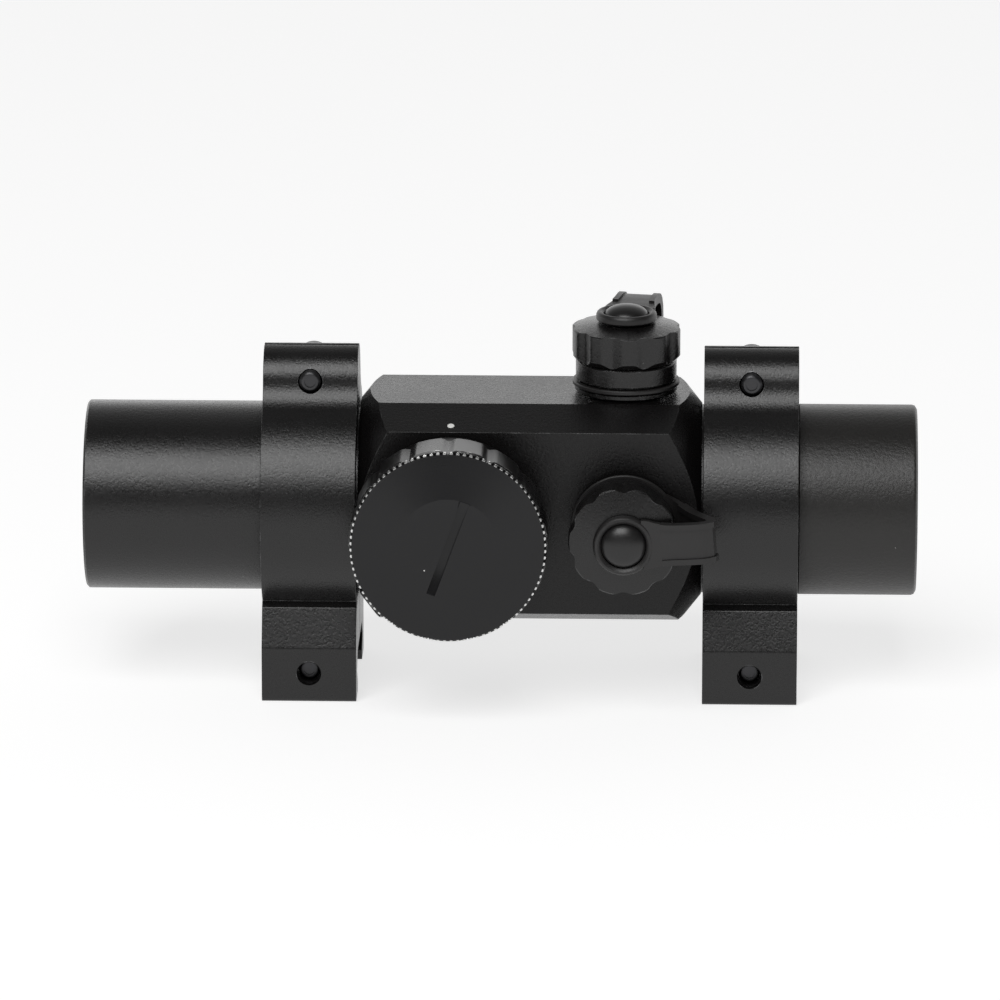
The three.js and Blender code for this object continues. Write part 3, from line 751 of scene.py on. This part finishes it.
def turret_cap(name, place):
    skirt = 5.5
    outline = fluted(LOBE_R, LOBES, 0.62, FLUTE_TURN[name], 28, sharp=1.6, wave=0.75)
    grip = outlined(f"{name}_cap_body", outline, skirt, CROWN)
    envelope = turned("envelope", [(0, skirt), (8.1, skirt), (LOBE_R + 0.1, 6.4), (LOBE_R + 0.1, 10.2),
                                   (LOBE_R - 0.2, 10.5), (EYE_R, CROWN), (0, CROWN)], 120)
    combine(grip, envelope, "INTERSECT")
    bored(grip, 6.65, 4, 10.1)
    bored(grip, 1.5, 9, CROWN + 1, 32)
    eased(grip, 0.14, 2, math.radians(25))
    settle(grip, place, f"{name}_cap", SATIN, [f"{name}_cap"])


def turret_seal(name, place):
    piece = turned(f"{name}_seal_ring", oval(5.7, 9.575, 0.6, 0.21), 64, closed=True)
    settle(piece, place, f"{name}_cap_seal", SEAL, [f"{name}_cap_seal"], smooth=math.radians(60))


# each strap's way from the ring to the eye: distance out, height, half its width
LOOP = {
    "windage": [(7.0, 1.65, 4.9), (7.7, 1.75, 4.45), (8.5, 2.2, 4.0), (9.3, 3.2, 3.65), (10.0, 4.5, 3.45),
                (10.7, 5.9, 3.3), (11.5, 7.4, 3.25), (12.3, 8.8, 3.25), (13.1, 10.1, 3.25),
                (13.7, 11.1, 3.25), (14.0, 12.0, 3.25), (13.7, 12.8, 3.25), (12.9, 13.3, 3.25),
                (11.8, 13.5, 3.25), (10.6, 13.5, 3.25), (9.3, 13.4, 3.25), (8.1, 13.25, 3.25),
                (7, 13.05, 3.3), (6, 12.85, 3.4), (5, 12.6, 3.6), (4, 12.45, 3.9), (3, 12.4, 4.0)],
    "elevation": [(7.0, 1.65, 4.9), (7.7, 1.66, 4.45), (8.5, 1.72, 4.0), (9.4, 1.95, 3.65), (10.3, 2.4, 3.4),
                  (11.2, 3.1, 3.3), (12.1, 4.2, 3.25), (13, 5.7, 3.25), (13.7, 7.3, 3.25), (14.0, 8.9, 3.25),
                  (13.8, 10.3, 3.25), (13.1, 11.5, 3.25), (12.1, 12.2, 3.25), (10.9, 12.55, 3.25),
                  (9.5, 12.65, 3.25), (8.1, 12.65, 3.25), (7, 12.6, 3.3), (6, 12.55, 3.4),
                  (5, 12.5, 3.6), (4, 12.4, 3.9), (3, 12.4, 4.0)],
}
BAND_THICK, BEAD_WIDTH, BEAD_THICK = 0.95, 0.9, 1.55


def swept(name, stations, thick):
    """A flat band along its own X and Z, from a list of (x, z, one edge's y, the other edge's y)."""
    bpy.ops.object.select_all(action="DESELECT")
    bpy.ops.mesh.primitive_plane_add(size=1)
    band = bpy.context.object
    band.name = name
    edit()
    bpy.ops.mesh.select_all(action="SELECT")
    bpy.ops.mesh.delete(type="ONLY_FACE")
    pick(band, lambda co: co.x > 0)
    bpy.ops.mesh.delete(type="VERT")
    pick(band, lambda co: co.x < 0)
    x, z, low, high = stations[0]
    bpy.ops.transform.resize(value=(1, high - low, 1), center_override=(-0.5, 0, 0))
    bpy.ops.transform.translate(value=(x + 0.5, (low + high) / 2, z))
    for (x0, z0, low0, high0), (x1, z1, low1, high1) in zip(stations, stations[1:]):
        middle0, middle1 = (low0 + high0) / 2, (low1 + high1) / 2
        shift = (x1 - x0, middle1 - middle0, z1 - z0)
        bpy.ops.mesh.extrude_edges_move(TRANSFORM_OT_translate={"value": shift})
        spread = (1, (high1 - low1) / (high0 - low0), 1)
        bpy.ops.transform.resize(value=spread, center_override=(x1, middle1, z1))
    leave()
    return modify(band, "SOLIDIFY", thickness=thick, offset=0, use_even_offset=True)


def cap_strap(name, place):
    """Ring round the base, a beaded band that loops outwards, and an eye held on the cap by the rivet.

    The place is the turret's, already turned so that its own +X is the way the band goes."""
    route = LOOP[name]
    band = swept(f"{name}_strap_band", [(x, z, -half, half) for x, z, half in route], BAND_THICK)
    for side in (-1, 1):
        edges = [(x, z, *sorted((side * half, side * (half - BEAD_WIDTH)))) for x, z, half in route[3:-3]]
        combine(band, swept("bead", edges, BEAD_THICK), "UNION")
    ring = turned("ring", [(7.7, 1.3), (8.35, 1.3), (8.5, 1.45), (8.5, 1.85), (8.35, 2), (7.7, 2)],
                  96, closed=True)
    eye = turned("eye", [(1.6, CROWN + 0.3), (EYE_R - 0.25, CROWN + 0.3), (EYE_R, CROWN + 0.55),
                         (EYE_R, CROWN + 1.2), (EYE_R - 0.1, CROWN + 1.5), (EYE_R - 0.35, CROWN + 1.72),
                         (EYE_R - 0.65, CROWN + 1.76), (EYE_R - 0.95, CROWN + 1.62),
                         (RIVET_SEAT_R, CROWN + 1.4), (RIVET_SEAT_R, CROWN + 0.7), (1.6, CROWN + 0.7)],
                 96, closed=True)
    combine(band, ring, "UNION")
    hollow = turned("hollow", [(0, CROWN), (RIVET_SEAT_R, CROWN), (RIVET_SEAT_R, CROWN + 1.4),
                               (EYE_R - 0.9, CROWN + 1.62), (EYE_R - 0.9, CROWN + 4), (0, CROWN + 4)], 64)
    combine(band, hollow)
    combine(band, eye, "UNION")
    bore = turned("bore", [(0, 0), (7.65, 0), (7.65, 5), (0, 5)], 64)
    combine(band, bore)
    eased(band, 0.16, 2, math.radians(40))
    settle(band, place, None, STRAP, [f"{name}_cap_strap"])
    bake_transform(band)


def strap_rivet(name, place):
    r, rise = RIVET_SEAT_R - 0.06, 1.8
    turns = [math.radians(a) for a in range(0, 90, 9)]
    dome = [(r * math.cos(t), CROWN + 1 + rise * math.sin(t)) for t in turns]
    piece = turned(f"{name}_rivet_dome", [(0, CROWN - 0.9), (1.2, CROWN - 0.9), (1.2, CROWN + 0.85),
                                          (3.4, CROWN + 0.85)] + dome + [(0, CROWN + 1 + rise)], 64)
    settle(piece, place, f"{name}_cap", SATIN_DOME, [f"{name}_strap_rivet"], smooth=math.radians(45))


# ---------- split mounting rings ----------

RING_R = 18.3
SLIT = 0.4
LUG_R, LUG_Z, LUG_FILLET = 5.9, 19.0, 6.5
FOOT_NECK, FOOT_TOP, FOOT_SHOULDER = (11.6, -14.2), (12.7, -15.0), (15.0, -21.2)
SEAT, SEAT_HALF, JAW, LIP_HALF = -23.2, 8.4, 2.6, 8.6
HOLE_R, MOUTH_R, SCREW_R = 1.76, 1.76 + 0.25, 1.7
TOP_HEAD_R, TOP_HEAD_HEIGHT, TOP_TIP = 2.8, 2.6, -6.7
BOLT_HEAD_R, BOLT_HEAD_HEIGHT, BOLT_TIP = 3.4, 3, -12.6


def half_outline():
    """Section of the left half: lug, fillet, ring, foot with its rail groove, and the bore."""
    bore = TUBE_R + GAP
    shoulder_y, shoulder_z = FOOT_SHOULDER
    to_ring, to_lug = RING_R + LUG_FILLET, LUG_R + LUG_FILLET
    fillet_z = (to_ring ** 2 - to_lug ** 2 + LUG_Z ** 2) / (2 * LUG_Z)
    fillet_y = math.sqrt(to_ring ** 2 - fillet_z ** 2)
    on_rim = math.degrees(math.atan2(fillet_z, fillet_y))
    on_lug = math.degrees(math.atan2(fillet_z - LUG_Z, fillet_y))
    neck = math.degrees(math.atan2(FOOT_NECK[1], FOOT_NECK[0]))
    bore_end = math.degrees(math.acos(SLIT / bore))
    points = arc(0, LUG_Z, LUG_R, math.degrees(math.acos(SLIT / LUG_R)), on_lug, 24)
    points += arc(fillet_y, fillet_z, LUG_FILLET, on_lug + 180, on_rim + 180, 16)[1:]
    points += arc(0, 0, RING_R, on_rim, neck, 48)[1:]
    points += [FOOT_TOP, (shoulder_y - 0.12, shoulder_z + 0.3), (shoulder_y, shoulder_z - 0.1)]
    points += arc(shoulder_y - 0.6, FOOT_Z + 0.6, 0.6, 0, -90, 4)
    points += arc(LIP_HALF + 0.4, FOOT_Z + 0.4, 0.4, -90, -180, 3)
    points += [(LIP_HALF, SEAT - 2 * JAW + 0.2), (SEAT_HALF + JAW, SEAT - JAW), (SEAT_HALF, SEAT)]
    points += [(SLIT, SEAT)]
    points += arc(0, 0, bore, -bore_end, bore_end, 64)
    return points


def ring_half(end, side):
    sign = 1 if side == "left" else -1
    points = [(sign * y, z) for y, z in half_outline()]
    half = RING_WIDTH / 2
    piece = moved(outlined(f"{end}_{side}_half_body", points, -half, half), SECTION)
    across = TO_LEFT if side == "left" else TO_RIGHT
    eased(piece, 0.45, 3, math.radians(28))
    lug_mouth = math.sqrt(LUG_R ** 2 - (SCREW_Z - LUG_Z) ** 2)
    for z, mouth in ((SCREW_Z, lug_mouth), (BOLT_Z, FOOT_SHOULDER[0])):
        flare = turned("flare", [(0, -1), (HOLE_R, -1), (HOLE_R, mouth - 0.4), (MOUTH_R, mouth + 0.1),
                                 (MOUTH_R, mouth + 4), (0, mouth + 4)])
        combine(piece, moved(flare, at(0, 0, z, across)))
    if side == "left":
        bored(piece, TOP_HEAD_R + GAP, LUG_R, 20, 48, at(0, 0, SCREW_Z, across))
    body = f"{end}_ring_left_half" if side == "left" else "housing"
    settle(piece, at(RING_X[end], AXIS_Y, AXIS_Z), body, RING_SATIN, [f"{end}_ring_{side}_half"])


def cross_screw(end, name, z, tip, seat, head_r, head_height):
    """A cap screw across both halves: threaded tip to the right, hexagon socket in its head on the left."""
    head_top = seat + GAP + head_height
    piece = turned(f"{end}_{name}_body", [(0, tip), (SCREW_R - 0.4, tip), (SCREW_R, tip + 0.4)]
                   + ridges(SCREW_R, -0.15, tip + 0.6, tip + 5, 0.5)
                   + [(SCREW_R, seat + GAP), (head_r - 0.1, seat + GAP), (head_r, seat + 0.4),
                      (head_r, head_top - 0.3), (head_r - 0.1, head_top - 0.1), (head_r - 0.3, head_top),
                      (0, head_top)], 64)
    bored(piece, head_r * 0.55, head_top - head_height * 0.6, head_top + 1, 6)
    bored(piece, SCREW_R * 0.55, tip - 1, tip + 0.25, 24)
    eased(piece, 0.05, 1)
    settle(piece, at(RING_X[end], AXIS_Y, AXIS_Z + z, TO_LEFT), f"{end}_ring_{name}", BLACK_OXIDE,
           [f"{end}_ring_{name}"])


# ---------- build ----------

main_housing()
rear_tube()
front_sleeve()
flat_window("front_window_pane", 14, WINDOW_REST + 0.3, "front_window")
flat_window("rear_window_pane", 13.7, REAR_END + 5.4, "rear_window")
window_retainer()
collimator()
dial_base()
brightness_dial()
battery_cap()
cap_seal()
coin_cell()
index_dot()
for name, place in (("elevation", ON_TOP), ("windage", ON_SIDE)):
    turret_base(name, place)
    turret_screw(name, place)
    turret_cap(name, place)
    turret_seal(name, place)
    cap_strap(name, place @ Matrix.Rotation(STRAP_TURN[name], 4, "Z"))
    strap_rivet(name, place)
for end in RING_X:
    for side in ("right", "left"):
        ring_half(end, side)
    cross_screw(end, "top_screw", SCREW_Z, TOP_TIP, LUG_R, TOP_HEAD_R, TOP_HEAD_HEIGHT)
    cross_screw(end, "cross_bolt", BOLT_Z, BOLT_TIP, FOOT_SHOULDER[0], BOLT_HEAD_R, BOLT_HEAD_HEIGHT)

# hidden parts that keep their own shape and only take a finish
CARRIED = {
    "collimator_tube": INNER, "gimbal_ring": STEEL, "return_spring": STEEL, "emitter_holder": MOULDING,
    "led_emitter": LED, "dot_mask": STEEL, "emitter_lead": SEAL, "switch_board": BOARD,
    "detent_spring": STEEL, "detent_ball": STEEL, "battery_contact": BRASS,
    "elevation_push_pin": STEEL, "windage_push_pin": STEEL,
}
for node, look in CARRIED.items():
    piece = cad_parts[node]
    piece.data.materials.clear()
    piece.data.materials.append(look.material)


# ---------- floor, light and camera ----------


def floor_look():
    look = Look(None, "Pale floor")
    n = look.n
    cloud = n.add("ShaderNodeTexNoise", Vector=n.add("ShaderNodeTexCoord").outputs["Object"], Scale=1.5)
    grey = n.mix(cloud.outputs["Fac"], (0.42, 0.42, 0.42, 1), (0.45, 0.45, 0.45, 1))
    look.set(Base_Color=grey, Roughness=0.9)
    look.shader.inputs["Specular IOR Level"].default_value = 0.0
    look.shader.inputs["Emission Color"].default_value = (1, 1, 1, 1)
    look.shader.inputs["Emission Strength"].default_value = 0.7
    return look


bpy.ops.object.select_all(action="DESELECT")
bpy.ops.mesh.primitive_plane_add(size=60)
floor = bpy.context.object
floor.name = "floor"
floor.data.materials.append(floor_look().material)

world = bpy.data.worlds.new("Studio")
bpy.context.scene.world = world
world.use_nodes = True
w = Nodes(world.node_tree)
towards = w.add("ShaderNodeTexCoord").outputs["Generated"]
parts = w.add("ShaderNodeSeparateXYZ", Vector=towards)
above = w.math("ARCTAN2", parts.outputs["Z"], parts.outputs["Y"])
sky = w.add("ShaderNodeValToRGB", Fac=w.math("DIVIDE", above, math.pi))
# how bright the studio is, from the sight's left (0) over its top (0.5) to its right (1)
SKY = [(0.0, 1.6), (0.08, 1.3), (0.14, 0.8), (0.21, 0.42), (0.33, 0.28), (0.45, 0.13), (0.6, 0.08),
       (0.9, 0.12), (1.0, 0.3)]
stops = sky.color_ramp.elements
while len(stops) < len(SKY):
    stops.new(0.5)
for stop, (place, level) in zip(stops, SKY):
    stop.position = place
    stop.color = (level, level, level, 1)
back = world.node_tree.nodes["Background"]
w.feed(back, "Color", sky.outputs["Color"])
back.inputs["Strength"].default_value = 1.0


def softbox(name, azimuth, height, distance, size, radiance):
    """A flat light aimed at the sight. Azimuth 0 is in front of its right side, height in degrees."""
    a, e = math.radians(azimuth), math.radians(height)
    away = Vector((math.sin(a) * math.cos(e), -math.cos(a) * math.cos(e), math.sin(e)))
    data = bpy.data.lights.new(name, "AREA")
    data.shape = "RECTANGLE"
    data.size, data.size_y = size
    data.energy = radiance * 4 * size[0] * size[1]
    lamp = bpy.data.objects.new(name, data)
    bpy.context.scene.collection.objects.link(lamp)
    lamp.location = away * distance + Vector((0, 0, AXIS_Z * MM))
    lamp.rotation_euler = away.to_track_quat("Z", "Y").to_euler()


KEY_AZIMUTH, KEY_HEIGHT, KEY_DISTANCE, KEY_SIZE, KEY_RADIANCE = -14, 49.5, 1.6, (1.1, 1.05), 3.9
softbox("key", KEY_AZIMUTH, KEY_HEIGHT, KEY_DISTANCE, KEY_SIZE, KEY_RADIANCE)

VIEW_HEIGHT, VIEW_DISTANCE, VIEW_ROLL = 15.6, 1480.0, 0.07
VIEW_ASIDE, AIM_DROP, VIEW_LENS = 35.2, 0.58, 334.6
aim = Vector((MIDDLE_X, AXIS_Y, AXIS_Z - AIM_DROP))
stand = Vector((MIDDLE_X + VIEW_ASIDE, aim.y - VIEW_DISTANCE * math.cos(math.radians(VIEW_HEIGHT)),
                aim.z + VIEW_DISTANCE * math.sin(math.radians(VIEW_HEIGHT))))
lens = bpy.data.cameras.new("view")
lens.sensor_width = 36
lens.lens = VIEW_LENS
lens.clip_start = 0.05
camera = bpy.data.objects.new("view", lens)
bpy.context.scene.collection.objects.link(camera)
look_along = (aim - stand).to_track_quat("-Z", "Y").to_matrix().to_4x4()
camera.matrix_world = (Matrix.Translation(stand * MM) @ look_along
                       @ Matrix.Rotation(math.radians(VIEW_ROLL), 4, "Z"))
bpy.context.scene.camera = camera
bpy.context.scene.view_settings.view_transform = "Standard"
